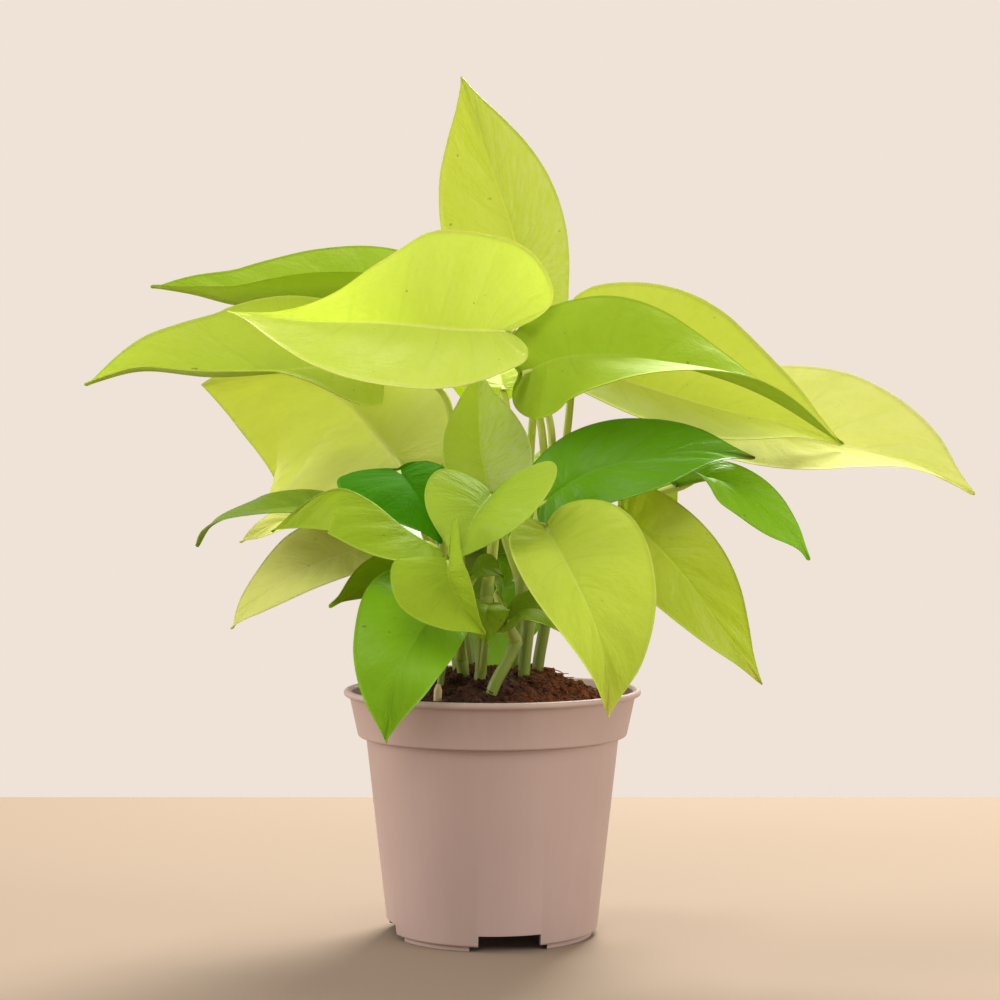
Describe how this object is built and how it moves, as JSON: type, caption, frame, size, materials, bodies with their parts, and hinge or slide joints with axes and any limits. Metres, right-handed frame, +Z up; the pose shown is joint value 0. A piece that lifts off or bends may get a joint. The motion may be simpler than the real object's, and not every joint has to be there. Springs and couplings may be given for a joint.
{
  "type": "potted golden pothos",
  "caption": "Bushy heart-leaved aroid house plant in lime and green, growing on short stems from dark coir soil in a round, tapered, moulded plastic nursery pot.",
  "frame": {"origin": "on the surface that the pot stands on, under the middle of the plant's overall width and depth; the pot's axis stands 15.5 mm to the left of it and 4 mm in front of it", "axes": "+Z up, -Y towards the viewer of the plant's front, +X to that viewer's right"},
  "size_m": [0.319, 0.1668, 0.3041],
  "materials": {
    "pot_plastic": "satin",
    "soil_coir": "matte",
    "stem_green": "satin",
    "stem_dry": "matte",
    "leaf_yellow": "satin",
    "leaf_green": "satin",
    "leaf_dark": "satin"
  },
  "bodies": {
    "root": {"pot": "pot_plastic", "soil": "soil_coir", "vine_front_left": "stem_green", "vine_left": "stem_green", "vine_front": "stem_green", "vine_slanting": "stem_green", "vine_front_right": "stem_green", "vine_right": "stem_green", "vine_back_left": "stem_green", "vine_back_right": "stem_green", "shoot_young": "stem_green", "stub_dried": "stem_dry", "leaf_crown": "leaf_yellow", "leaf_broad_left": "leaf_yellow", "leaf_back_left": "leaf_green", "leaf_left": "leaf_yellow", "leaf_left_turned": "leaf_yellow", "leaf_small_upright": "leaf_yellow", "leaf_right": "leaf_green", "leaf_right_behind": "leaf_yellow", "leaf_far_right": "leaf_yellow", "leaf_dark_right": "leaf_dark", "leaf_long_tip": "leaf_dark", "leaf_hanging_right": "leaf_yellow", "leaf_hanging_far_right": "leaf_yellow", "leaf_centre": "leaf_green", "leaf_curled_front": "leaf_green", "leaf_dark_left": "leaf_dark", "leaf_arched_left": "leaf_green", "leaf_low_left": "leaf_green", "leaf_pale_low_left": "leaf_yellow", "leaf_tip_left": "leaf_yellow", "leaf_shaded_left": "leaf_dark", "leaf_hanging_left": "leaf_green", "leaf_low_right": "leaf_dark", "leaf_small_centre": "leaf_dark", "leaf_small_drooping": "leaf_green", "leaf_rear_high": "leaf_yellow", "leaf_rear_left": "leaf_yellow", "leaf_rear_right": "leaf_green", "leaf_rear_low_left": "leaf_dark", "leaf_rear_low_right": "leaf_green", "leaf_rear_low_middle": "leaf_green", "leaf_rear_middle": "leaf_dark"}
  },
  "joints": []
}
